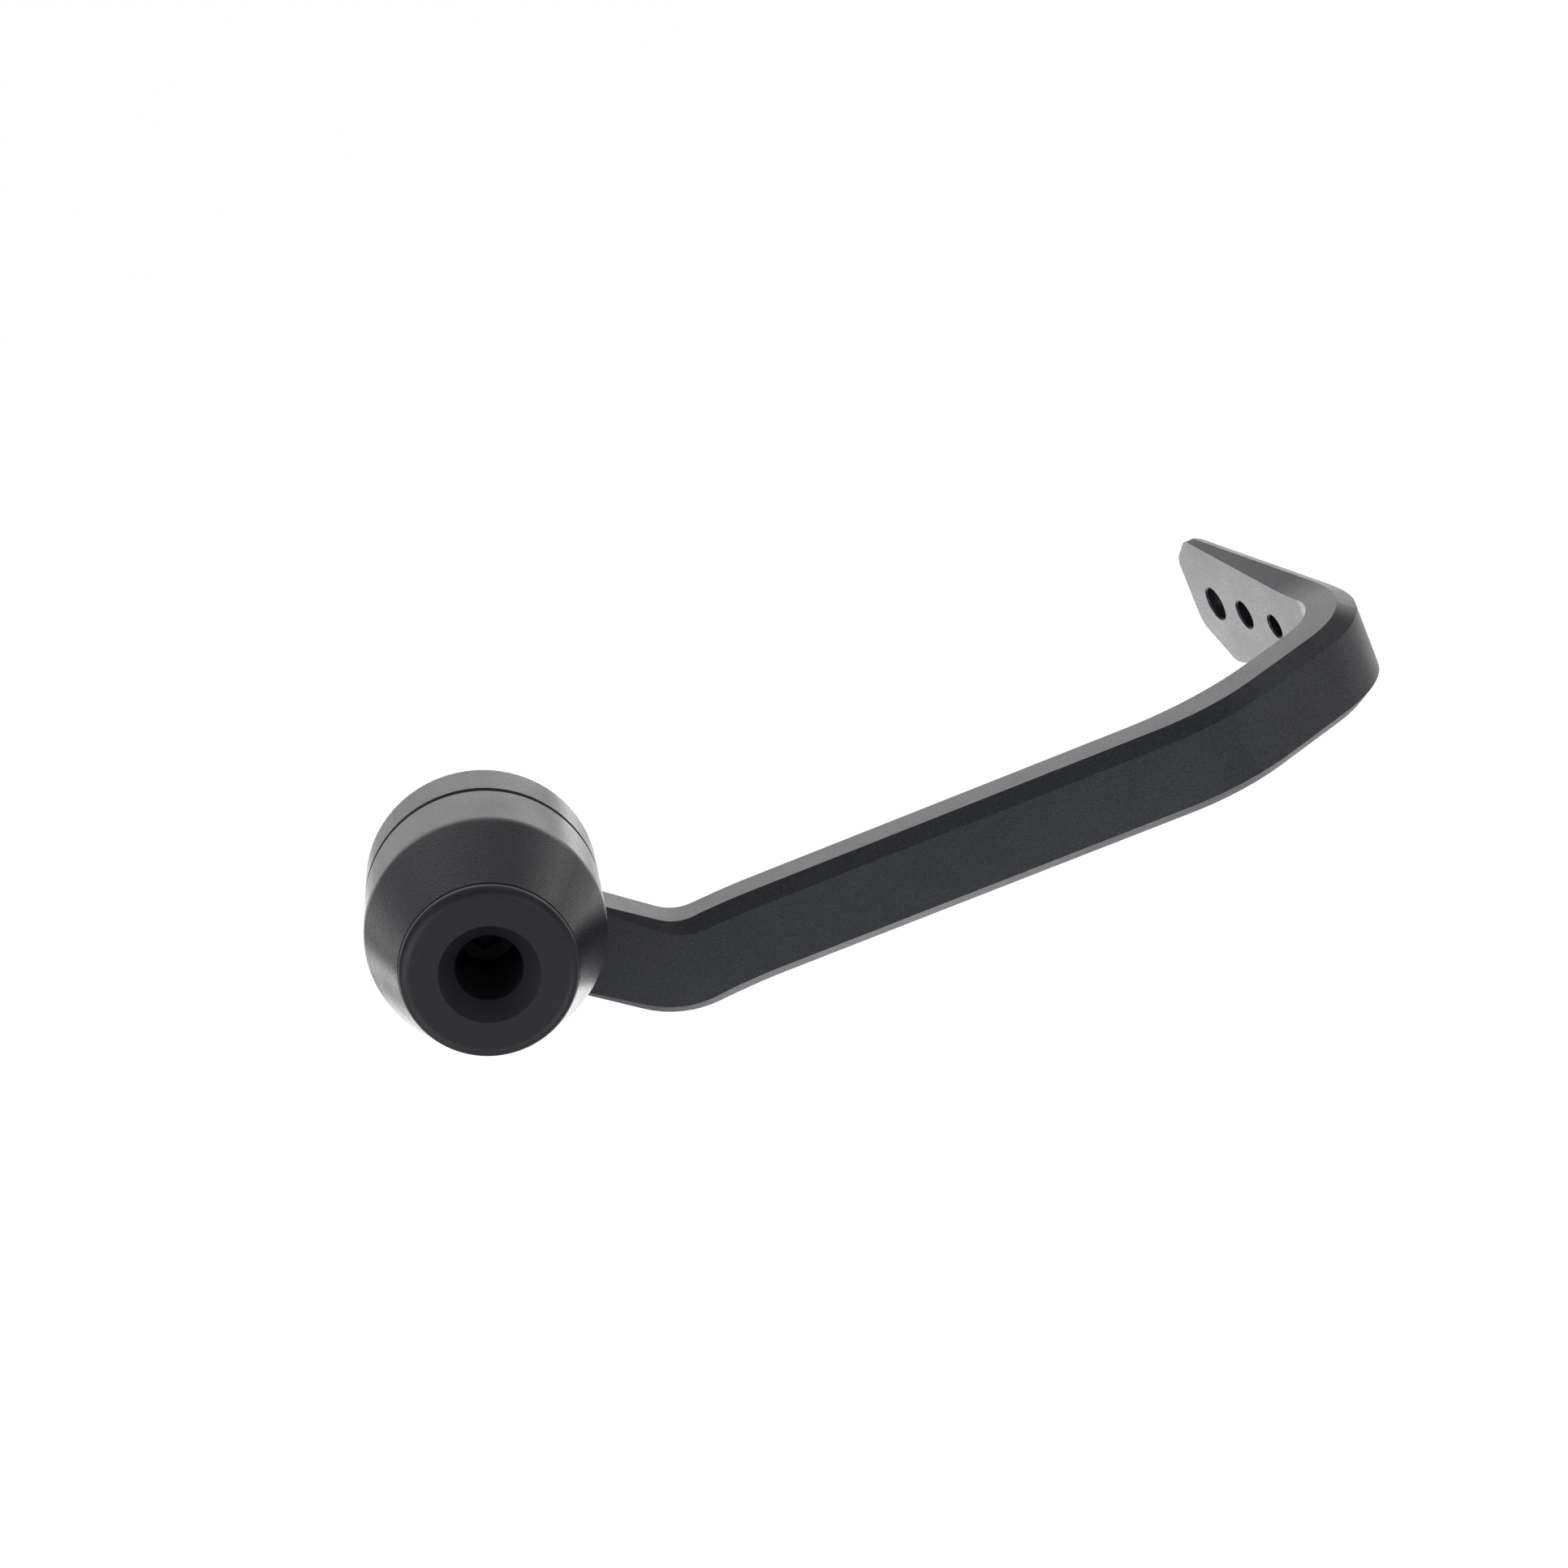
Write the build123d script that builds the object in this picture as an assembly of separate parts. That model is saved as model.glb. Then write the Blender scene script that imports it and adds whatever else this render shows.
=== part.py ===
# Brake lever guard for the end of a motorbike handlebar.
#
# The eyelet of the guard arm sits between the handlebar and a turned bar-end weight. A nylon nose cap
# fills the front of the weight, and one long screw clamps nose, weight and eyelet to the bar.
# The origin is on the bar's axis at the back of the eyelet. The bar runs along Y, with -Y outboard,
# the arm runs forward along +X past the tip of the lever, and +Z is up.

import os
from math import atan2, cos, degrees, radians, sin, tan

from build123d import *

# Driving dimensions of the turned stack, in millimetres
ring_diameter = 38.0
ring_thickness = 12.0
ring_front_bevel = 0.9
ring_back_bevel = 0.6
weight_band_length = 15.8
weight_back_bevel = 0.9
weight_edge_radius = 5.2
cone_length = 16.1
cone_end_diameter = 27.5
nose_diameter = 27.2
nose_rim_length = 2.2
nose_rim_radius = 1.8
nose_gap = 0.2
spigot_diameter = 20.0
spigot_clearance = 0.15
spigot_floor = 3.0
recess_base = 6.0
countersink_diameter = 15.4
countersink_depth = 3.1
key_bore_diameter = 10.4

# Mounting screw
screw_diameter = 6.0
screw_shank_diameter = 5.3
screw_reach = 22.0
screw_head_diameter = 10.0
screw_head_height = 6.0
screw_head_bevel = 0.5
screw_tip_bevel = 0.8
hex_key_size = 5.0
hex_key_depth = 3.0
screw_hole_clearance = 0.3

# Section of the arm: a flat bar with both outboard edges bevelled
arm_thickness = 9.3
arm_height = 15.5
bevel_depth = 2.8
bevel_height = 2.1

# Side view of the arm: it drops from the eyelet and turns to run level below the bar
arm_drop = 26.6
neck_slope = 42.0
neck_corner_x = 23.3
neck_top_radius = 8.0
neck_bottom_radius = 18.0
neck_root_length = 24.0
neck_root_bevel = 0.15

# Plan of the arm along its inboard face: angles are measured from straight ahead, outboard positive
outset_ahead = 13.2
outset_angle = 9.0
outset_radius = 40.0
bow_x = 118.2
bow_angle = -28.2
bow_inner_radius = 36.0
bow_outer_radius = 30.0
corner_ahead = 28.4
fin_angle = -100.5
corner_inner_radius = 14.0
corner_near_cut = 10.6
corner_far_cut = 13.3
corner_near_radius = 21.0
corner_flat = 0.5

# Fin: it thins and grows taller towards its inboard end
fin_length = 57.5
fin_root_distance = 13.5
fin_root_thickness = 8.45
fin_edge_land = 0.55
fin_top_slope = 9.3
fin_bottom_slope = 5.1
fin_blend_radius = 60.0
fin_top_corner_length = 6.6
fin_top_corner_drop = 5.8
fin_bottom_corner_length = 9.3
fin_bottom_corner_rise = 7.6
fin_corner_radius = 3.5
fin_hole_diameters = (4.3, 5.3, 6.3)
fin_first_hole = 24.0
fin_hole_pitch = 11.75
fin_hole_bevel = 0.3

# Places along the bar's axis, counted outboard from the back of the eyelet
weight_back = ring_thickness
cone_back = weight_back + weight_band_length
weight_front = cone_back + cone_length
recess_floor = weight_back + recess_base
nose_back = weight_front + nose_gap
nose_front = nose_back + nose_rim_length
head_seat = recess_floor + spigot_floor
screw_hole_diameter = screw_diameter + 2 * screw_hole_clearance

# Overshoot of a cutter past the face it goes through, and how near an edge is to the place asked for
margin = 1.0
match_tolerance = 0.01

# Places of the arm's level run
arm_middle = -arm_drop
arm_top = arm_middle + arm_height / 2
arm_bottom = arm_middle - arm_height / 2


def turned(points):
    """Revolve a closed outline of (radius, distance outboard) about the bar's axis."""
    outline = Polyline(*[(radius, -outboard, 0) for radius, outboard in points], close=True)
    return revolve(make_face(outline), Axis.Y)


def bore(diameter, start, end):
    """A cutter along the bar's axis between two distances outboard."""
    face = Plane(origin=(0, -start, 0), z_dir=(0, -1, 0)) * Circle(diameter / 2)
    return extrude(face, end - start)


def circles_at(solid, radius, outboard):
    """The circular edges of a turned solid that have this radius at this distance outboard."""
    edges = solid.edges().filter_by(GeomType.CIRCLE)
    edges = edges.filter_by(lambda edge: abs(edge.radius - radius) < match_tolerance)
    return edges.filter_by(lambda edge: abs(edge.arc_center.Y + outboard) < match_tolerance)


def heading(angle):
    """Unit vector in plan at an angle from straight ahead, outboard positive."""
    return Vector(cos(radians(angle)), -sin(radians(angle)))


def outward(angle):
    """Unit vector in plan from the inboard face of a run to its outboard face."""
    return Vector(-sin(radians(angle)), -cos(radians(angle)))


def meet(point, angle, other_point, other_angle):
    """The crossing of two lines in plan, each given by a point and an angle."""
    along = heading(angle)
    across = outward(other_angle)
    step = (other_point - point).dot(across) / along.dot(across)
    return point + along * step


def bar_section(plane, thickness, top, bottom, depth, height):
    """The bar's outline: x of the plane runs from inboard to outboard face, y runs up."""
    outline = Polyline(
        (0, bottom),
        (thickness - depth, bottom),
        (thickness, bottom + height),
        (thickness, top - height),
        (thickness - depth, top),
        (0, top),
        close=True,
    )
    return plane * make_face(outline)


# An edge further from the inboard face than this share of the thickness is an outboard one
outer_side = 0.75

# Side view of the neck: its top and bottom edges turn level in arcs of their own
neck_turn = radians(neck_slope)
half_tangent = tan(neck_turn / 2)
neck_top_corner = neck_corner_x + arm_height / 2 * half_tangent
neck_bottom_corner = neck_corner_x - arm_height / 2 * half_tangent
neck_end = margin + max(
    neck_top_corner + neck_top_radius * half_tangent,
    neck_bottom_corner + neck_bottom_radius * half_tangent,
)

# Plan of the inboard face: the points where its straight runs would meet
start_in = Vector(neck_end, 0)
outset_in = Vector(neck_corner_x + outset_ahead, 0)
bow_in = outset_in + heading(outset_angle) * ((bow_x - outset_in.X) / cos(radians(outset_angle)))
corner_in = bow_in + heading(bow_angle) * (corner_ahead / cos(radians(bow_angle)))
fin_root_in = corner_in + heading(fin_angle) * fin_root_distance
fin_end_in = corner_in + heading(fin_angle) * fin_length

# Plan of the outboard face, one arm thickness away, with the fin's own taper
fin_run = fin_length - fin_root_distance
fin_end_thickness = bevel_depth + fin_edge_land
fin_taper_angle = degrees(atan2(fin_root_thickness - fin_end_thickness, fin_run))
fin_outer_angle = fin_angle - fin_taper_angle
start_out = start_in + outward(0) * arm_thickness
bow_line_out = bow_in + outward(bow_angle) * arm_thickness
outset_out = meet(start_out, 0, outset_in + outward(outset_angle) * arm_thickness, outset_angle)
bow_out = meet(outset_out, outset_angle, bow_line_out, bow_angle)
fin_root_out = fin_root_in + outward(fin_angle) * fin_root_thickness
fin_end_out = fin_end_in + outward(fin_angle) * fin_end_thickness
corner_out = meet(bow_line_out, bow_angle, fin_root_out, fin_outer_angle)

# The outboard corner turns in two arcs, a tighter one after the bow and a wider one before the fin
corner_near_out = corner_out - heading(bow_angle) * corner_near_cut
corner_far_out = corner_out + heading(fin_outer_angle) * corner_far_cut
facet = corner_far_out - corner_near_out
facet_angle = degrees(atan2(-facet.Y, facet.X))
near_tangent = corner_near_radius * tan(radians(bow_angle - facet_angle) / 2)
far_tangent = facet.length - corner_flat - near_tangent
corner_far_radius = far_tangent / tan(radians(facet_angle - fin_outer_angle) / 2)

# Slopes of the fin's top and bottom, which spread from its root towards its end
top_rise = tan(radians(fin_top_slope))
bottom_fall = tan(radians(fin_bottom_slope))

# The plan runs on past the end of the fin, and the view from ahead cuts it to length
fin_tail_in = fin_end_in + heading(fin_angle) * margin
fin_tail_out = fin_end_out + heading(fin_outer_angle) * margin


def fin_top(travelled):
    """The point of the fin's top edge at a distance from its root, in the view from ahead."""
    return fin_root_in.Y + travelled * heading(fin_angle).Y, arm_top + travelled * top_rise


def fin_bottom(travelled):
    """The point of the fin's bottom edge at a distance from its root, in the view from ahead."""
    return fin_root_in.Y + travelled * heading(fin_angle).Y, arm_bottom - travelled * bottom_fall


def from_ahead(outline):
    """Extrude an outline of the view from ahead, y to the right and z up, over the whole arm."""
    view = Plane(origin=(0, 0, 0), x_dir=(0, 1, 0), z_dir=(1, 0, 0))
    return extrude(view * outline, corner_out.X + margin)


def level_and_spread():
    """View from ahead of the level run and the fin, which spreads from it with a soft bend."""
    beyond = fin_run + arm_thickness
    behind = bow_out.Y - margin
    outline = make_face(
        Polyline(
            (behind, arm_bottom), fin_bottom(0), fin_bottom(beyond),
            fin_top(beyond), fin_top(0), (behind, arm_top),
            close=True,
        )
    )
    return fillet(outline.vertices().group_by(Axis.X)[1], fin_blend_radius)


def fin_end_waste():
    """View from ahead of all that is cut away round the end of the fin."""
    top_cut = fin_run - fin_top_corner_length
    bottom_cut = fin_run - fin_bottom_corner_length
    start = min(top_cut, bottom_cut) - fin_corner_radius
    end_y, end_top = fin_top(fin_run)
    end_bottom = fin_bottom(fin_run)[1]
    kept = make_face(
        Polyline(
            fin_bottom(start), fin_bottom(bottom_cut), (end_y, end_bottom + fin_bottom_corner_rise),
            (end_y, end_top - fin_top_corner_drop), fin_top(top_cut), fin_top(start),
            close=True,
        )
    )
    kept = fillet(kept.vertices().group_by(Axis.X)[1:], fin_corner_radius)
    left = fin_top(start)[0]
    right = end_y + arm_thickness
    low = end_bottom - arm_thickness
    high = end_top + arm_thickness
    return make_face(Polyline((left, low), (right, low), (right, high), (left, high), close=True)) - kept


def level_run_and_fin():
    """The bar from the neck to the end of the fin, bevelled all along its outboard edges."""
    inner_line = FilletPolyline(
        start_in, outset_in, bow_in, corner_in, fin_tail_in,
        radius=[outset_radius, bow_inner_radius, corner_inner_radius],
    )
    outer_line = FilletPolyline(
        start_out, outset_out, bow_out, corner_near_out, corner_far_out, fin_tail_out,
        radius=[outset_radius, bow_outer_radius, corner_near_radius, corner_far_radius],
    )
    ends = [Line(start_in, start_out), Line(fin_tail_in, fin_tail_out)]
    plan = make_face([*inner_line.edges(), *outer_line.edges(), *ends])
    low = fin_bottom(fin_run + arm_thickness)[1]
    high = fin_top(fin_run + arm_thickness)[1]
    bar = extrude(Pos(0, 0, low) * plan, high - low, dir=(0, 0, 1)) & from_ahead(level_and_spread())

    # Each bevel starts on the level run and follows the smooth edge up or down the fin
    for pick in (-1, 0):
        level = bar.faces().filter_by(Axis.Z).sort_by(Axis.Z)[pick]
        inner_edge = Pos(0, 0, level.center().Z) * inner_line
        outer_edges = level.edges().filter_by(
            lambda edge: inner_edge.distance_to(edge.position_at(0.5)) > outer_side * arm_thickness
        )
        bar = chamfer(outer_edges, length=bevel_depth, length2=bevel_height, reference=level)
    return bar - from_ahead(fin_end_waste()) - fin_holes()


def fin_holes():
    """Cutters for the row of holes along the fin's middle line, with bevelled rims on its inboard face."""
    face = Plane(origin=fin_root_in, x_dir=heading(fin_angle), z_dir=outward(fin_angle))
    middle_rise = (top_rise - bottom_fall) / 2
    cutters = []
    for place, diameter in enumerate(fin_hole_diameters):
        travelled = fin_first_hole + place * fin_hole_pitch - fin_root_distance
        centre = face * Pos(travelled, arm_middle + travelled * middle_rise)
        radius = diameter / 2
        rim = [(0, 0), (radius + fin_hole_bevel, 0), (radius, fin_hole_bevel)]
        depth = fin_root_thickness + margin
        outline = Polyline(*[(x, 0, z) for x, z in [*rim, (radius, depth), (0, depth)]], close=True)
        cutters.append(centre * revolve(make_face(outline), Axis.Z))
    return cutters


def neck_edge(corner_x, level, radius, turned_share):
    """A point, in side view, of an edge that comes down the slope and turns level in an arc."""
    turn = neck_turn * (1 - turned_share)
    centre = Vector(corner_x + radius * half_tangent, 0, level + radius)
    return centre - Vector(sin(turn), 0, cos(turn)) * radius


def neck_section(top, bottom, share):
    """The bar's section between two points in side view, with a share of the full bevels."""
    up = (top - bottom).normalized()
    half = (top - bottom).length / 2
    plane = Plane(origin=(top + bottom) / 2, x_dir=(0, -1, 0), z_dir=Vector(0, -1, 0).cross(up))
    return bar_section(plane, arm_thickness, half, -half, bevel_depth * share, bevel_height * share)


def neck():
    """The flat neck that drops from the eyelet, with bevels that grow out of nothing along it."""
    down = Vector(cos(neck_turn), 0, -sin(neck_turn))
    up = Vector(sin(neck_turn), 0, cos(neck_turn))
    root = Vector(neck_corner_x, 0, arm_middle) - down * neck_root_length
    pairs = [(root + up * (arm_height / 2), root - up * (arm_height / 2))]
    for turned_share in (0.0, 0.25, 0.5, 0.75, 1.0):
        pairs.append(
            (
                neck_edge(neck_top_corner, arm_top, neck_top_radius, turned_share),
                neck_edge(neck_bottom_corner, arm_bottom, neck_bottom_radius, turned_share),
            )
        )
    pairs.append((Vector(neck_end, 0, arm_top), Vector(neck_end, 0, arm_bottom)))
    middles = [(top + bottom) / 2 for top, bottom in pairs]
    travelled = [0.0]
    for before, after in zip(middles, middles[1:]):
        travelled.append(travelled[-1] + (after - before).length)
    sections = []
    for (top, bottom), so_far in zip(pairs, travelled):
        share = neck_root_bevel + (1 - neck_root_bevel) * so_far / travelled[-1]
        sections.append(neck_section(top, bottom, share))
    return loft(sections[:2], ruled=True) + loft(sections[1:-1]) + loft(sections[-2:], ruled=True)


def eyelet():
    """The ring that the stack clamps, with a screw hole and bevelled rims."""
    radius = ring_diameter / 2
    return turned(
        [
            (screw_hole_diameter / 2, 0),
            (radius - ring_back_bevel, 0),
            (radius, ring_back_bevel),
            (radius, ring_thickness - ring_front_bevel),
            (radius - ring_front_bevel, ring_thickness),
            (screw_hole_diameter / 2, ring_thickness),
        ]
    )


def guard_arm():
    """Eyelet, neck, level run and fin, cut from one piece of aluminium."""
    arm = neck() + level_run_and_fin()
    arm = arm - bore(screw_hole_diameter, -margin, arm_thickness + margin)
    return eyelet() + arm


def bar_end_weight():
    """Turned weight: a band as wide as the eyelet, then a cone down to the nose cap."""
    radius = ring_diameter / 2
    recess = spigot_diameter / 2 + spigot_clearance
    body = turned(
        [
            (screw_hole_diameter / 2, weight_back),
            (radius - weight_back_bevel, weight_back),
            (radius, weight_back + weight_back_bevel),
            (radius, cone_back),
            (cone_end_diameter / 2, weight_front),
            (recess, weight_front),
            (recess, recess_floor),
            (screw_hole_diameter / 2, recess_floor),
        ]
    )
    return fillet(circles_at(body, radius, cone_back), weight_edge_radius)


def nose_cap():
    """Nylon nose: a spigot in the weight's recess, a rounded rim and a countersunk bore for the key."""
    key_radius = key_bore_diameter / 2
    body = turned(
        [
            (screw_hole_diameter / 2, recess_floor),
            (spigot_diameter / 2, recess_floor),
            (spigot_diameter / 2, nose_back),
            (nose_diameter / 2, nose_back),
            (nose_diameter / 2, nose_front),
            (countersink_diameter / 2, nose_front),
            (key_radius, nose_front - countersink_depth),
            (key_radius, head_seat),
            (screw_hole_diameter / 2, head_seat),
        ]
    )
    return fillet(circles_at(body, nose_diameter / 2, nose_front), nose_rim_radius)


def mounting_screw():
    """Socket-head screw seated in the nose, with its free threaded end behind the eyelet."""
    thread = screw_diameter / 2
    shank = screw_shank_diameter / 2
    head = screw_head_diameter / 2
    body = turned(
        [
            (0, -screw_reach),
            (thread - screw_tip_bevel, -screw_reach),
            (thread, screw_tip_bevel - screw_reach),
            (thread, 0),
            (shank, 0),
            (shank, head_seat),
            (head, head_seat),
            (head, head_seat + screw_head_height - screw_head_bevel),
            (head - screw_head_bevel, head_seat + screw_head_height),
            (0, head_seat + screw_head_height),
        ]
    )
    socket = Plane(origin=(0, -(head_seat + screw_head_height), 0), z_dir=(0, 1, 0))
    key = RegularPolygon(hex_key_size / 2, 6, major_radius=False)
    return body - extrude(socket * key, hex_key_depth)


os.makedirs("parts", exist_ok=True)
for name, solid in {
    "guard_arm": guard_arm(),
    "bar_end_weight": bar_end_weight(),
    "nose_cap": nose_cap(),
    "mounting_screw": mounting_screw(),
}.items():
    export_step(solid, f"parts/{name}.step")
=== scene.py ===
# %% [markdown]
# # A brake lever guard in black anodised aluminium
#
# This lesson dresses a finished construction model: a bent guard arm, a turned bar-end weight, a nylon
# nose cap and the screw that clamps them. The solids arrive at their real size and stay where they are.
# We add the finishes, the screw's thread, a camera and a plain light tent.

# %% Load the construction model
import math

import bmesh
import bpy
from mathutils import Matrix, Vector


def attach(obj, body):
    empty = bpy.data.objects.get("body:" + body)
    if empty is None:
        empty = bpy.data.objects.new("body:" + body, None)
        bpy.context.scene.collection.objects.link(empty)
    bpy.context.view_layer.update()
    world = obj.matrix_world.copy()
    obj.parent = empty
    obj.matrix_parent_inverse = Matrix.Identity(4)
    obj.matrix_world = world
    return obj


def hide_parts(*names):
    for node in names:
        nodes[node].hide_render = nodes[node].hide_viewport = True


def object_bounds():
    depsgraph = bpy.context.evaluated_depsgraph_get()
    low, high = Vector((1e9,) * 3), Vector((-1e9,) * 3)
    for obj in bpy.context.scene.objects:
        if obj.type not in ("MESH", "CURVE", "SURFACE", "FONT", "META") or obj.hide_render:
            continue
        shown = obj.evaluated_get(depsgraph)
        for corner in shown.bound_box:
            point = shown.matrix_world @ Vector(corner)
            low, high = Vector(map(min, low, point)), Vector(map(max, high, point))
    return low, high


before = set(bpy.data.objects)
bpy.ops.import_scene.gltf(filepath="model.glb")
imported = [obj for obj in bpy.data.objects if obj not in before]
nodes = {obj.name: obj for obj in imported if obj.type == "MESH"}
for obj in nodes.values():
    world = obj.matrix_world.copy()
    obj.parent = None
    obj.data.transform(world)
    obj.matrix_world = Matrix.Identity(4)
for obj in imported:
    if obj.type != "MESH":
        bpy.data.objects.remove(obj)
cad_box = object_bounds()
scene = bpy.context.scene
scene.view_settings.view_transform = "Standard"

MM = 0.001
print("pieces:", sorted(nodes))
print("size in mm:", [round(x / MM, 1) for x in cad_box[1] - cad_box[0]])

# %% [markdown]
# ## Camera
#
# The photograph was taken from in front of the nose, a little above it, with the camera rolled so that
# the arm climbs to the right. The eyelet's circle, the cone and the arm's straight edges give the place,
# the direction and the focal length. A long lens keeps the far fin nearly as large as the near nose.

# %% Place the camera
IMAGE_SIDE = 1932
FOCAL_LENGTH_PX = 3500
SENSOR_WIDTH = 36.0
CLIP_START = 10 * MM
CLIP_END = 10.0
camera_place = Vector((52.31, -449.02, 135.81)) * MM
looking = Vector((-0.0009, 0.9531, -0.3025)).normalized()
upwards = Vector((0.4163, 0.2754, 0.8665))

camera = bpy.data.objects.new("camera", bpy.data.cameras.new("camera"))
camera.data.sensor_width = SENSOR_WIDTH
camera.data.lens = SENSOR_WIDTH * FOCAL_LENGTH_PX / IMAGE_SIDE
camera.data.clip_start = CLIP_START
camera.data.clip_end = CLIP_END
sideways = looking.cross(upwards).normalized()
upwards = sideways.cross(looking)
turn = Matrix((sideways, upwards, -looking)).transposed()
camera.matrix_world = Matrix.Translation(camera_place) @ turn.to_4x4()
scene.collection.objects.link(camera)
scene.camera = camera
print("lens:", round(camera.data.lens, 2), "mm")


# %% [markdown]
# ## Small helpers for materials
#
# Every finish is a Principled shader with a few textures in front of it. Four helpers keep the finishes
# short. One starts a material, one adds a node and sets and links its inputs, one carries a texture over
# to another range, and one mixes two colours.

# %% Helpers for node trees
def new_finish(name):
    """An empty material with a Principled shader on its output."""
    material = bpy.data.materials.new(name)
    material.use_nodes = True
    tree = material.node_tree
    tree.nodes.clear()
    output = tree.nodes.new("ShaderNodeOutputMaterial")
    shader = tree.nodes.new("ShaderNodeBsdfPrincipled")
    tree.links.new(shader.outputs["BSDF"], output.inputs["Surface"])
    return material, tree, shader


def add_node(tree, kind, settings=None, values=None, links=None):
    """One node of a tree: settings are its own properties, values and links go to its inputs."""
    node = tree.nodes.new(kind)
    for key, value in (settings or {}).items():
        setattr(node, key, value)
    for key, value in (values or {}).items():
        node.inputs[key].default_value = value
    for key, source in (links or {}).items():
        tree.links.new(source, node.inputs[key])
    return node


def linear_range(tree, source, low, high, from_low=0.0, from_high=1.0):
    """A texture's value carried over to another range."""
    node = add_node(
        tree,
        "ShaderNodeMapRange",
        values={"From Min": from_low, "From Max": from_high, "To Min": low, "To Max": high},
        links={"Value": source},
    )
    return node.outputs["Result"]


def colour_between(tree, share, deep, pale):
    """A colour from deep to pale, by a share from 0 to 1."""
    node = add_node(tree, "ShaderNodeMix", settings={"data_type": "RGBA"}, links={"Factor": share})
    node.inputs["A"].default_value = (*deep, 1.0)
    node.inputs["B"].default_value = (*pale, 1.0)
    return node.outputs["Result"]


# %% [markdown]
# ## Bead-blasted, anodised aluminium
#
# The arm and the weight are blasted with glass beads and then dyed black in the anodising bath. Seen
# straight on the surface is nearly black, and at a flat angle the clear oxide layer turns it grey.
# A dielectric shader does both by itself. The dents left by the beads are a fine grain of bump. A dent is
# also darker and duller than the rim round it, so the same grain drives the colour, the roughness and a
# small share of dark metal. Wide, faint clouds vary the polish from place to place.

# %% Finish of the arm and the weight
BEAD_DENT = 0.42 * MM
BEAD_DEPTH = 0.036 * MM
GRAIN_DETAIL = 3.0
GRAIN_ROUGHNESS = 0.6
GRAIN_LOW, GRAIN_HIGH = 0.35, 0.72
CLOUD_SIZE = 9.0 * MM
CLOUD_DETAIL = 2.0
CLOUD_POLISH = 0.03
NOISE_LOW, NOISE_HIGH = 0.3, 0.7
DENT_ROUGHNESS = 0.32
PEAK_ROUGHNESS = 0.26
DENT_METAL = 0.3
OXIDE_IOR = 1.7


def anodised(name, deep, pale):
    """Satin black over a grain of dents, from a deep colour in the dents to a pale one on the peaks."""
    material, tree, shader = new_finish(name)
    place = add_node(tree, "ShaderNodeTexCoord").outputs["Object"]
    grain = add_node(
        tree,
        "ShaderNodeTexNoise",
        values={"Scale": 1 / BEAD_DENT, "Detail": GRAIN_DETAIL, "Roughness": GRAIN_ROUGHNESS},
        links={"Vector": place},
    ).outputs["Fac"]
    cloud = add_node(
        tree,
        "ShaderNodeTexNoise",
        values={"Scale": 1 / CLOUD_SIZE, "Detail": CLOUD_DETAIL},
        links={"Vector": place},
    ).outputs["Fac"]
    speckle = linear_range(tree, grain, 0.0, 1.0, GRAIN_LOW, GRAIN_HIGH)
    polish = linear_range(tree, cloud, -CLOUD_POLISH, CLOUD_POLISH, NOISE_LOW, NOISE_HIGH)
    texture = linear_range(tree, grain, DENT_ROUGHNESS, PEAK_ROUGHNESS, NOISE_LOW, NOISE_HIGH)
    roughness = add_node(
        tree, "ShaderNodeMath", settings={"operation": "ADD"}, links={0: polish, 1: texture}
    ).outputs["Value"]
    bump = add_node(
        tree,
        "ShaderNodeBump",
        values={"Strength": 1.0, "Distance": BEAD_DEPTH},
        links={"Height": grain},
    ).outputs["Normal"]
    shader.inputs["IOR"].default_value = OXIDE_IOR
    tree.links.new(colour_between(tree, speckle, deep, pale), shader.inputs["Base Color"])
    tree.links.new(linear_range(tree, speckle, DENT_METAL, 0.0), shader.inputs["Metallic"])
    tree.links.new(roughness, shader.inputs["Roughness"])
    tree.links.new(bump, shader.inputs["Normal"])
    return material


arm_finish = anodised("arm_anodised_black", (0.018, 0.020, 0.028), (0.034, 0.037, 0.048))
weight_finish = anodised("weight_anodised_black", (0.019, 0.020, 0.027), (0.035, 0.037, 0.046))
print("finishes:", arm_finish.name, weight_finish.name)

# %% [markdown]
# ## Turned nylon
#
# The nose cap is turned from a nylon bar. It is matt, and the tool leaves fine rings round the axis.
# The distance from that axis, fed to a sine, gives the rings without any picture.

# %% Finish of the nose cap
TURNING_PITCH = 0.22 * MM
TURNING_DEPTH = 0.006 * MM
TURNING_STRENGTH = 0.35
NYLON_GRAIN = 0.35 * MM
NYLON_DETAIL = 2.0
NYLON_ROUGHNESS = (0.36, 0.46)
NYLON_IOR = 1.5


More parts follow.
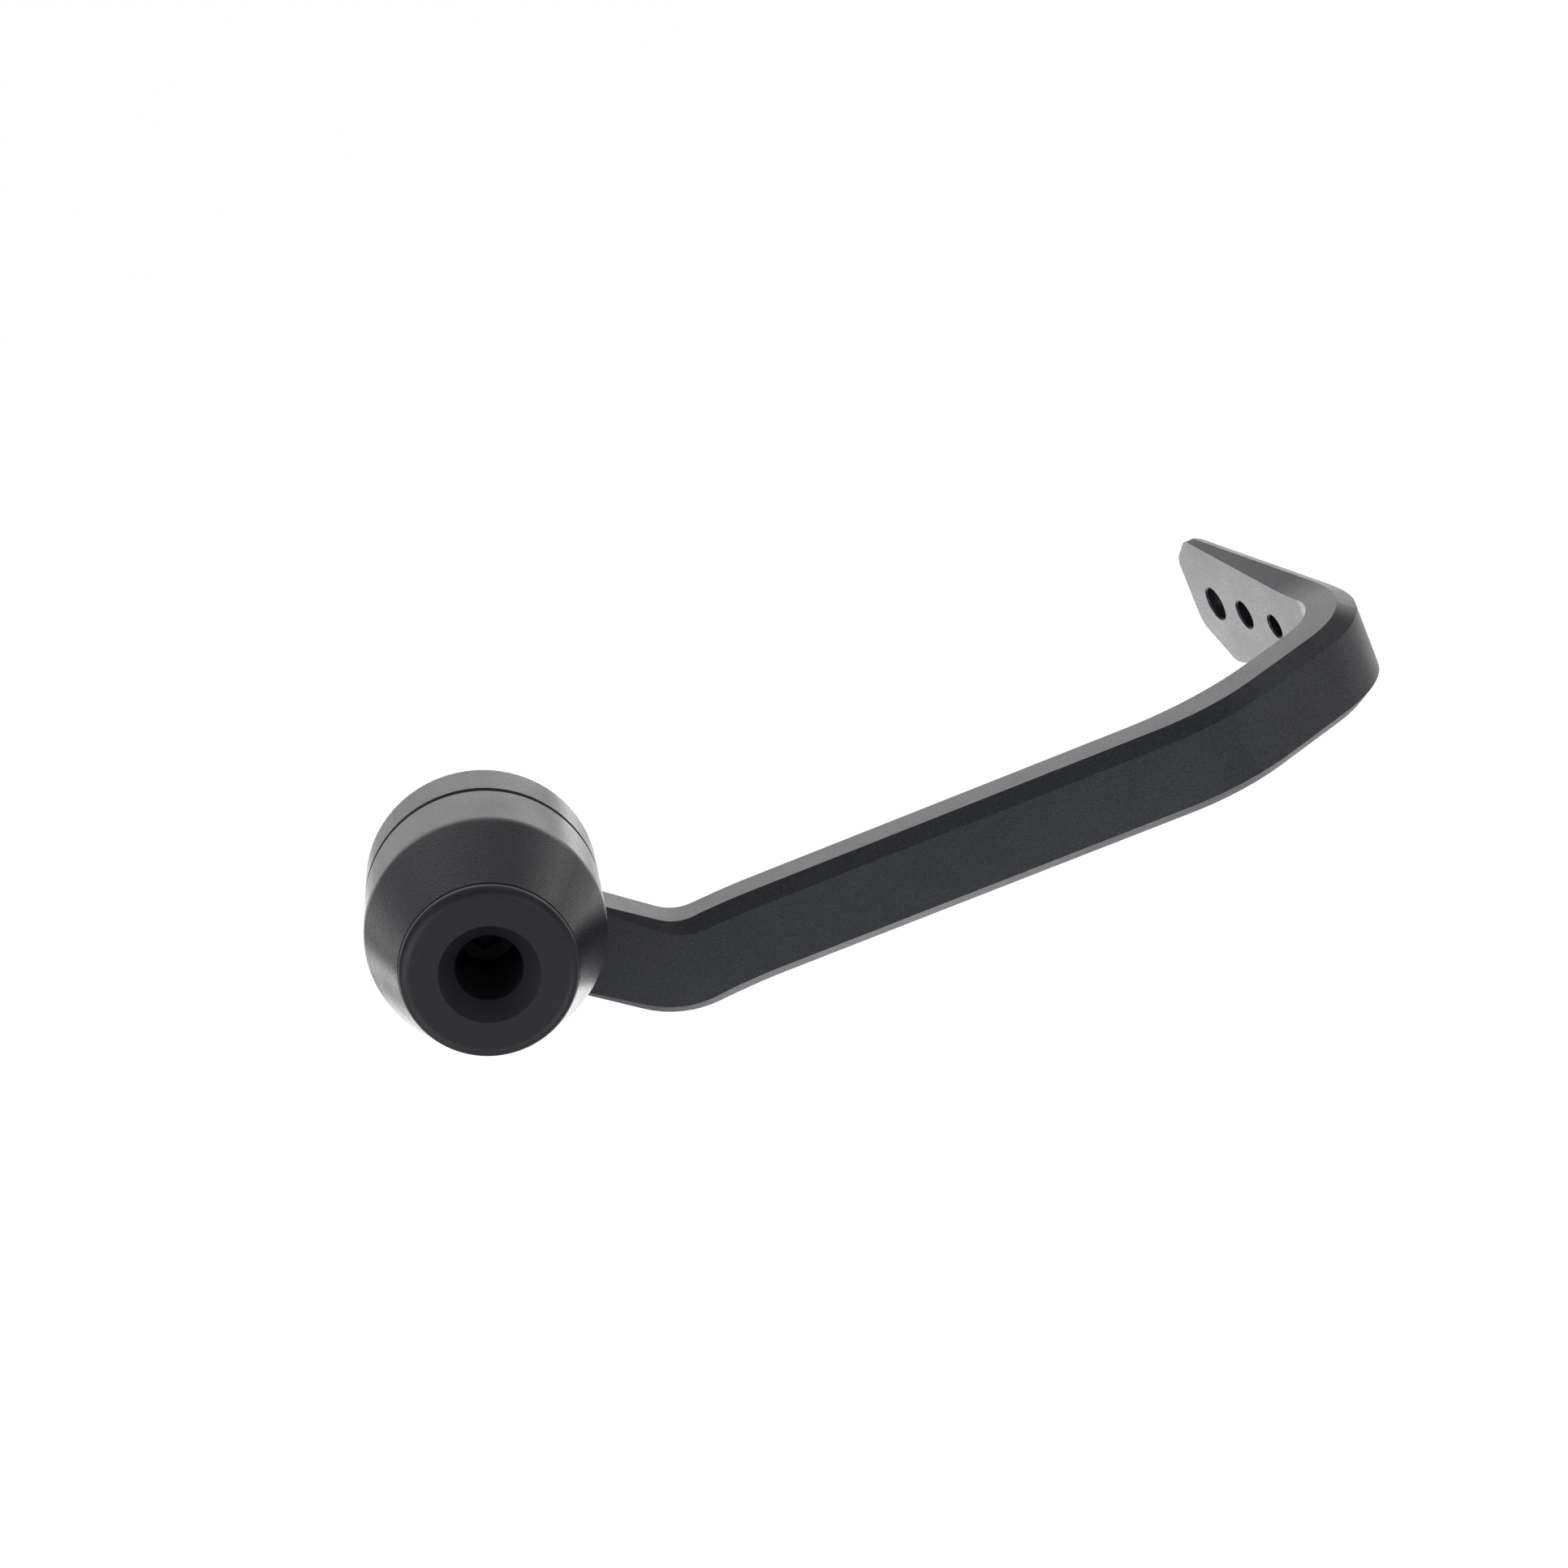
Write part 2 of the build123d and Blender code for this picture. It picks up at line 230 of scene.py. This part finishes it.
def turned_nylon(name, deep, pale):
    """Matt black with turning rings round the bar's axis."""
    material, tree, shader = new_finish(name)
    place = add_node(tree, "ShaderNodeTexCoord").outputs["Object"]
    across = add_node(
        tree,
        "ShaderNodeVectorMath",
        settings={"operation": "MULTIPLY"},
        values={1: (1.0, 0.0, 1.0)},
        links={0: place},
    ).outputs["Vector"]
    radius = add_node(
        tree, "ShaderNodeVectorMath", settings={"operation": "LENGTH"}, links={0: across}
    ).outputs["Value"]
    phase = add_node(
        tree,
        "ShaderNodeMath",
        settings={"operation": "MULTIPLY"},
        values={1: 2 * math.pi / TURNING_PITCH},
        links={0: radius},
    ).outputs["Value"]
    rings = add_node(
        tree, "ShaderNodeMath", settings={"operation": "SINE"}, links={0: phase}
    ).outputs["Value"]
    grain = add_node(
        tree,
        "ShaderNodeTexNoise",
        values={"Scale": 1 / NYLON_GRAIN, "Detail": NYLON_DETAIL},
        links={"Vector": place},
    ).outputs["Fac"]
    height = add_node(
        tree, "ShaderNodeMath", settings={"operation": "ADD"}, links={0: rings, 1: grain}
    ).outputs["Value"]
    bump = add_node(
        tree,
        "ShaderNodeBump",
        values={"Strength": TURNING_STRENGTH, "Distance": TURNING_DEPTH},
        links={"Height": height},
    ).outputs["Normal"]
    shader.inputs["IOR"].default_value = NYLON_IOR
    tree.links.new(colour_between(tree, grain, deep, pale), shader.inputs["Base Color"])
    tree.links.new(linear_range(tree, grain, *NYLON_ROUGHNESS), shader.inputs["Roughness"])
    tree.links.new(bump, shader.inputs["Normal"])
    return material


nose_finish = turned_nylon("nose_turned_nylon", (0.017, 0.018, 0.023), (0.027, 0.028, 0.036))
print("finish:", nose_finish.name)

# %% [markdown]
# ## Black oxide steel
#
# The screw is dipped in a hot oxide bath, which leaves a thin black skin over bare steel. It is metal,
# so it shines in its own dark colour, with paler and duller clouds.

# %% Finish of the screw
OXIDE_CLOUD = 1.2 * MM
OXIDE_DETAIL = 4.0
OXIDE_ROUGHNESS = (0.32, 0.48)


def black_oxide(name, deep, pale):
    """Dark metal with clouds in its colour and shine."""
    material, tree, shader = new_finish(name)
    place = add_node(tree, "ShaderNodeTexCoord").outputs["Object"]
    cloud = add_node(
        tree,
        "ShaderNodeTexNoise",
        values={"Scale": 1 / OXIDE_CLOUD, "Detail": OXIDE_DETAIL},
        links={"Vector": place},
    ).outputs["Fac"]
    shader.inputs["Metallic"].default_value = 1.0
    tree.links.new(colour_between(tree, cloud, deep, pale), shader.inputs["Base Color"])
    tree.links.new(linear_range(tree, cloud, *OXIDE_ROUGHNESS), shader.inputs["Roughness"])
    return material


screw_finish = black_oxide("screw_black_oxide", (0.016, 0.016, 0.018), (0.038, 0.037, 0.039))
print("finish:", screw_finish.name)

# %% [markdown]
# ## The screw's head, shank and core
#
# A socket-head screw clamps the stack. Its head is turned and knurled and its socket is pressed in, so
# every section across it is a ring of points about one axis. Each ring has its own rule for the radius:
# round, knurled or six-sided. The thread comes later, so the free end is only as thick as the core of an
# M6 thread.

# %% Sizes and ring rules of the screw
SCREW_SIDES = 72
HEAD_TOP = -27.0 * MM
HEAD_SEAT = -21.0 * MM
HEAD_RADIUS = 5.0 * MM
HEAD_BEVEL = 0.5 * MM
SEAT_BEVEL = 0.2 * MM
KNURL_DEPTH = 0.12 * MM
SOCKET_FLAT = 2.5 * MM
SOCKET_FLOOR = -24.0 * MM
SHANK_RADIUS = 2.65 * MM
THREAD_RADIUS = 3.0 * MM
THREAD_DEPTH = 0.6 * MM
TIP = 22.0 * MM
TIP_RADIUS = 2.2 * MM
CORE_RADIUS = THREAD_RADIUS - THREAD_DEPTH


def round_ring(radius):
    """A ring of even radius."""
    return lambda side: radius


def knurled_ring(radius):
    """A ring whose every second point lies a little deeper."""
    return lambda side: radius - KNURL_DEPTH * (side % 2)


def six_sided_ring(flat):
    """A hexagon, by its distance from the axis to a flat."""
    sector = 2 * math.pi / 6
    return lambda side: flat / math.cos((2 * math.pi * side / SCREW_SIDES) % sector - sector / 2)


print("core of the thread:", round(2 * CORE_RADIUS / MM, 2), "mm across")


# %% [markdown]
# ## From rings to a closed form
#
# Neighbouring rings are joined by four-sided faces, and the first and the last are each closed by one face.
# The list runs from the tip over the head to the socket's floor, so the skin folds back into the head where
# the socket starts. A spun outline would be shorter, but it could give neither the knurl nor the hexagon.

# %% Make the plain screw
def rings_to_mesh(name, rings):
    """A closed form about the Y axis from rings, each a place along the axis and a rule for the radius."""
    points = []
    faces = [tuple(range(SCREW_SIDES))]
    for along, radius_at in rings:
        for side in range(SCREW_SIDES):
            angle = 2 * math.pi * side / SCREW_SIDES
            reach = radius_at(side)
            points.append((reach * math.cos(angle), along, reach * math.sin(angle)))
    for row in range(len(rings) - 1):
        for side in range(SCREW_SIDES):
            here = row * SCREW_SIDES + side
            beside = row * SCREW_SIDES + (side + 1) % SCREW_SIDES
            faces.append((here, beside, beside + SCREW_SIDES, here + SCREW_SIDES))
    faces.append(tuple(range(len(points) - SCREW_SIDES, len(points))))
    mesh = bpy.data.meshes.new(name)
    mesh.from_pydata(points, [], faces)
    form = bmesh.new()
    form.from_mesh(mesh)
    bmesh.ops.recalc_face_normals(form, faces=form.faces)
    form.to_mesh(mesh)
    form.free()
    return mesh


screw_rings = [
    (TIP, round_ring(TIP_RADIUS)),
    (TIP - (CORE_RADIUS - TIP_RADIUS), round_ring(CORE_RADIUS)),
    (SHANK_RADIUS - CORE_RADIUS, round_ring(CORE_RADIUS)),
    (0.0, round_ring(SHANK_RADIUS)),
    (HEAD_SEAT, round_ring(SHANK_RADIUS)),
    (HEAD_SEAT, round_ring(HEAD_RADIUS - SEAT_BEVEL)),
    (HEAD_SEAT - SEAT_BEVEL, knurled_ring(HEAD_RADIUS)),
    (HEAD_TOP + HEAD_BEVEL, knurled_ring(HEAD_RADIUS)),
    (HEAD_TOP, round_ring(HEAD_RADIUS - HEAD_BEVEL)),
    (HEAD_TOP, six_sided_ring(SOCKET_FLAT)),
    (SOCKET_FLOOR, six_sided_ring(SOCKET_FLAT)),
]
plain_screw = bpy.data.objects.new("plain_screw", rings_to_mesh("plain_screw", screw_rings))
scene.collection.objects.link(plain_screw)
print("plain screw:", len(plain_screw.data.polygons), "faces")

# %% [markdown]
# ## The thread
#
# A thread is one ridge wound round the core. Geometry Nodes wind it by rule, as a spiral along the axis.
# The tree's inputs are the sizes of the thread and the screw that it is wound on, so the same tree winds
# any thread.

# %% Wind the spiral
POINTS_PER_TURN = 36

winding = bpy.data.node_groups.new("wound_thread", "GeometryNodeTree")
winding.interface.new_socket("Screw", in_out="INPUT", socket_type="NodeSocketGeometry")
for size in ("Core Radius", "Depth", "Pitch", "Start", "Length"):
    winding.interface.new_socket(size, in_out="INPUT", socket_type="NodeSocketFloat")
winding.interface.new_socket("Finish", in_out="INPUT", socket_type="NodeSocketMaterial")
winding.interface.new_socket("Threaded Screw", in_out="OUTPUT", socket_type="NodeSocketGeometry")
given = add_node(winding, "NodeGroupInput").outputs

turns = add_node(
    winding,
    "ShaderNodeMath",
    settings={"operation": "DIVIDE"},
    links={0: given["Length"], 1: given["Pitch"]},
).outputs["Value"]
spiral = add_node(
    winding,
    "GeometryNodeCurveSpiral",
    values={"Resolution": POINTS_PER_TURN, "Reverse": True},
    links={
        "Rotations": turns,
        "Start Radius": given["Core Radius"],
        "End Radius": given["Core Radius"],
        "Height": given["Length"],
    },
).outputs["Curve"]
upright = add_node(
    winding, "GeometryNodeSetCurveNormal", settings={"mode": "Z_UP"}, links={"Curve": spiral}
).outputs["Curve"]
print("spiral:", POINTS_PER_TURN, "points in a turn")

# %% [markdown]
# ## The ridge
#
# The spiral carries a four-sided profile, broad at the foot and flat at the crest. It is drawn for a
# thread that is one unit deep with a pitch of one unit, and the tree's inputs scale it. It shrinks to
# almost nothing at both ends, as a rolled thread runs out. Blender winds a spiral along Z, so the ridge is
# then turned to lie along the screw's axis.

# %% Sweep the profile along the spiral
RUN_OUT = 0.03
THINNEST = 0.02
PROFILE = [(-0.15, -0.46, 0.0), (1.0, -0.07, 0.0), (1.0, 0.07, 0.0), (-0.15, 0.46, 0.0)]

position = add_node(winding, "GeometryNodeSplineParameter").outputs["Factor"]
from_end = add_node(
    winding, "ShaderNodeMath", settings={"operation": "SUBTRACT"}, values={0: 1.0}, links={1: position}
).outputs["Value"]
nearest_end = add_node(
    winding, "ShaderNodeMath", settings={"operation": "MINIMUM"}, links={0: position, 1: from_end}
).outputs["Value"]
fullness = linear_range(winding, nearest_end, THINNEST, 1.0, 0.0, RUN_OUT)

profile = add_node(winding, "GeometryNodeCurvePrimitiveQuadrilateral", settings={"mode": "POINTS"})
for number, point in enumerate(PROFILE, start=1):
    profile.inputs["Point %d" % number].default_value = point
profile_size = add_node(
    winding, "ShaderNodeCombineXYZ", values={"Z": 1.0}, links={"X": given["Depth"], "Y": given["Pitch"]}
).outputs["Vector"]
sized_profile = add_node(
    winding, "GeometryNodeTransform", links={"Geometry": profile.outputs["Curve"], "Scale": profile_size}
).outputs["Geometry"]
ridge = add_node(
    winding,
    "GeometryNodeCurveToMesh",
    values={"Fill Caps": True},
    links={"Curve": upright, "Profile Curve": sized_profile, "Scale": fullness},
).outputs["Mesh"]
ridge_place = add_node(winding, "ShaderNodeCombineXYZ", links={"Y": given["Start"]}).outputs["Vector"]
ridge_in_place = add_node(
    winding,
    "GeometryNodeTransform",
    values={"Rotation": (-math.pi / 2, 0.0, 0.0)},
    links={"Geometry": ridge, "Translation": ridge_place},
).outputs["Geometry"]
print("profile:", len(PROFILE), "corners")

# %% [markdown]
# ## The threaded screw
#
# The tree joins the ridge to the screw, makes everything real and gives it the screw's finish. The result
# is then kept as a plain mesh, which stands for the screw of the construction model. The ridge sinks a
# little into the core, so that no gap shows at its foot.

# %% Join the thread to the screw
THREAD_PITCH = 1.0 * MM
THREAD_START = 0.6 * MM
THREAD_END = TIP - 0.5 * MM
SHARP_EDGE = math.radians(25)

joined = add_node(winding, "GeometryNodeJoinGeometry")
winding.links.new(given["Screw"], joined.inputs["Geometry"])
winding.links.new(ridge_in_place, joined.inputs["Geometry"])
real = add_node(
    winding, "GeometryNodeRealizeInstances", links={"Geometry": joined.outputs["Geometry"]}
).outputs["Geometry"]
dressed = add_node(
    winding, "GeometryNodeSetMaterial", links={"Geometry": real, "Material": given["Finish"]}
).outputs["Geometry"]
add_node(winding, "NodeGroupOutput", links={"Threaded Screw": dressed})

modifier = plain_screw.modifiers.new("thread", "NODES")
modifier.node_group = winding
sockets = [item for item in winding.interface.items_tree if item.in_out == "INPUT"]
socket_of = {item.name: item.identifier for item in sockets}
for size, value in {
    "Core Radius": CORE_RADIUS,
    "Depth": THREAD_DEPTH,
    "Pitch": THREAD_PITCH,
    "Start": THREAD_START,
    "Length": THREAD_END - THREAD_START,
    "Finish": screw_finish,
}.items():
    modifier[socket_of[size]] = value

graph = bpy.context.evaluated_depsgraph_get()
screw_mesh = bpy.data.meshes.new_from_object(plain_screw.evaluated_get(graph))
bpy.data.objects.remove(plain_screw)
screw_mesh.materials.clear()
screw_mesh.materials.append(screw_finish)
screw_mesh.polygons.foreach_set("material_index", [0] * len(screw_mesh.polygons))
screw_mesh.shade_smooth()
screw_mesh.set_sharp_from_angle(angle=SHARP_EDGE)
screw = bpy.data.objects.new("threaded_screw", screw_mesh)
scene.collection.objects.link(screw)
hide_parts("mounting_screw")
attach(screw, "root")
print("threaded screw:", len(screw_mesh.polygons), "faces")

# %% [markdown]
# ## Dress the solids
#
# The other solids keep their own meshes. Only the material in each slot changes.

# %% Give each solid its finish
for name, finish in {
    "guard_arm": arm_finish,
    "bar_end_weight": weight_finish,
    "nose_cap": nose_finish,
}.items():
    nodes[name].data.materials.clear()
    nodes[name].data.materials.append(finish)
    print(name, "->", finish.name)

# %% [markdown]
# ## Soft patches of light
#
# A black part shows its form by what it mirrors, so the light is planned by direction. Each patch is a
# round glow that fades from its middle, on the walls of a white tent or on the paper under the guard. Those
# on the paper are painted pools of light, which the guard sees only in its reflections. A patch on the walls
# is a bell curve of the angle to its middle, and one on the paper is a bell curve of the distance. The two
# functions add their patch to the sum of those before it.

# %% Helpers for patches of light
def towards(azimuth, elevation):
    """A unit vector, from an azimuth that starts at +X and turns to +Y, and an elevation, in degrees."""
    turn, rise = math.radians(azimuth), math.radians(elevation)
    return Vector((math.cos(rise) * math.cos(turn), math.cos(rise) * math.sin(turn), math.sin(rise)))


def math_node(tree, operation, *inputs):
    """One sum on sockets and plain numbers."""
    node = add_node(tree, "ShaderNodeMath", settings={"operation": operation})
    for number, value in enumerate(inputs):
        if isinstance(value, bpy.types.NodeSocket):
            tree.links.new(value, node.inputs[number])
        else:
            node.inputs[number].default_value = value
    return node.outputs["Value"]


def add_wall_patch(tree, total, direction, azimuth, elevation, sharpness, strength):
    """A glow on the tent's wall, narrower for a higher sharpness, added to a total."""
    aim = add_node(tree, "ShaderNodeVectorMath", settings={"operation": "DOT_PRODUCT"}, links={0: direction})
    aim.inputs[1].default_value = towards(azimuth, elevation)
    fall = math_node(tree, "MULTIPLY_ADD", aim.outputs["Value"], sharpness, -sharpness)
    return math_node(tree, "MULTIPLY_ADD", math_node(tree, "EXPONENT", fall), strength, total)


def add_painted_light_pool(tree, total, place, middle, spread, strength):
    """A painted pool of light on the paper, as wide as its spread, added to a total."""
    gap = add_node(tree, "ShaderNodeVectorMath", settings={"operation": "DISTANCE"}, links={0: place})
    gap.inputs[1].default_value = middle
    ratio = math_node(tree, "DIVIDE", gap.outputs["Value"], spread)
    fall = math_node(tree, "MULTIPLY", math_node(tree, "MULTIPLY", ratio, ratio), -1.0)
    return math_node(tree, "MULTIPLY_ADD", math_node(tree, "EXPONENT", fall), strength, total)


# %% [markdown]
# ## Floor
#
# The guard hangs from its screw, so the floor lies well below it, as a sheet of white paper would. The
# paper takes light and shadow like any other surface. In reflections it also glows in painted pools of
# light, most of all behind the guard, which stand in for paper under a studio lamp where there is no lamp.
# For the camera it glows all over, which keeps the background white without more light on the guard. The
# patches lie in three rings round the guard, and their strengths are in tenths, because finer steps don't
# show.

# %% Make the floor
FLOOR_DROP = 220 * MM
FLOOR_HALF = 6.0
PAPER_WHITE = 0.8
PAPER_GLOW = 0.8
GUARD_MIDDLE = Vector((70, 10, -20)) * MM
# the rings give painted pools of light on the paper
# elevation as seen from the guard's middle in degrees, spread in metres, strength by azimuth in degrees
FLOOR_RINGS = [
    (-9, 0.45, {60: 0.9, 90: 3.5, 120: 2.7}),
    (-20, 0.22, {0: 0.5, 36: 0.5, 72: 0.7, 108: 2.8, 216: 2.0, 288: 0.3, 324: 0.5}),
    (-38, 0.13, {90: 2.3, 270: 1.7}),
]

floor_height = cad_box[0].z - FLOOR_DROP
floor_mesh = bpy.data.meshes.new("floor")
corners = [(-1, -1), (1, -1), (1, 1), (-1, 1)]
floor_points = [(x * FLOOR_HALF, y * FLOOR_HALF, floor_height) for x, y in corners]
floor_mesh.from_pydata(floor_points, [], [(0, 1, 2, 3)])
floor = bpy.data.objects.new("floor", floor_mesh)
scene.collection.objects.link(floor)

floor_finish, floor_tree, paper = new_finish("floor_paper")
paper.inputs["Base Color"].default_value = (PAPER_WHITE, PAPER_WHITE, PAPER_WHITE, 1.0)
paper.inputs["Roughness"].default_value = 1.0
paper.inputs["Specular IOR Level"].default_value = 0.0
paper.inputs["Emission Color"].default_value = (1.0, 1.0, 1.0, 1.0)
on_paper = add_node(floor_tree, "ShaderNodeTexCoord").outputs["Object"]
# painted pools of light: the paper glows in patches, but only for reflections
glow = 0.0
for elevation, spread, strengths in FLOOR_RINGS:
    for azimuth, strength in strengths.items():
        way = towards(azimuth, elevation)
        middle = GUARD_MIDDLE + way * ((floor_height - GUARD_MIDDLE.z) / way.z)
        glow = add_painted_light_pool(floor_tree, glow, on_paper, middle, spread, strength)
path = add_node(floor_tree, "ShaderNodeLightPath").outputs
mirrored = math_node(floor_tree, "MAXIMUM", path["Is Glossy Ray"], path["Is Transmission Ray"])
painted_light_in_reflections = math_node(floor_tree, "MULTIPLY", glow, mirrored)
total = math_node(floor_tree, "MULTIPLY_ADD", path["Is Camera Ray"], PAPER_GLOW, painted_light_in_reflections)
floor_tree.links.new(total, paper.inputs["Emission Strength"])
floor_mesh.materials.append(floor_finish)
print("floor at", round(floor_height / MM, 1), "mm")

# %% [markdown]
# ## Light tent
#
# The tent is bright behind the guard up to about forty degrees, which turns its top faces grey, and dark
# overhead, which keeps the bevels and the cone black. Softer patches low down in front, to the left and the
# right of the camera, light the faces that look at it. The camera itself sees plain white.

# %% Make the world
TENT_SHADE = 0.03
# elevation in degrees, sharpness, strength by azimuth in degrees
WALL_RINGS = [
    (-2, 14, {200: 1.2}),
    (2, 22, {40: 0.5, 60: 1.0, 80: 0.8, 120: 1.2}),
    (5, 8, {230: 1.6, 310: 1.0}),
    (16, 22, {100: 0.1}),
    (30, 22, {80: 0.8, 100: 0.9, 120: 0.1}),
    (44, 22, {20: 0.5}),
    (60, 9, {0: 0.1, 180: 0.2}),
    (90, 9, {0: 0.15}),
]
world = bpy.data.worlds.new("light_tent")
scene.world = world
world.use_nodes = True
sky = world.node_tree
sky.nodes.clear()
direction = add_node(sky, "ShaderNodeTexCoord").outputs["Generated"]
level = TENT_SHADE
for elevation, sharpness, strengths in WALL_RINGS:
    for azimuth, strength in strengths.items():
        level = add_wall_patch(sky, level, direction, azimuth, elevation, sharpness, strength)
white = {"Color": (1.0, 1.0, 1.0, 1.0)}
tent = add_node(sky, "ShaderNodeBackground", values=white, links={"Strength": level})
plain = add_node(sky, "ShaderNodeBackground", values={**white, "Strength": 1.0})
choose = add_node(
    sky,
    "ShaderNodeMixShader",
    links={
        0: add_node(sky, "ShaderNodeLightPath").outputs["Is Camera Ray"],
        1: tent.outputs["Background"],
        2: plain.outputs["Background"],
    },
)
add_node(sky, "ShaderNodeOutputWorld", links={"Surface": choose.outputs["Shader"]})
print("world:", world.name, "with", len(WALL_RINGS), "rings of patches")
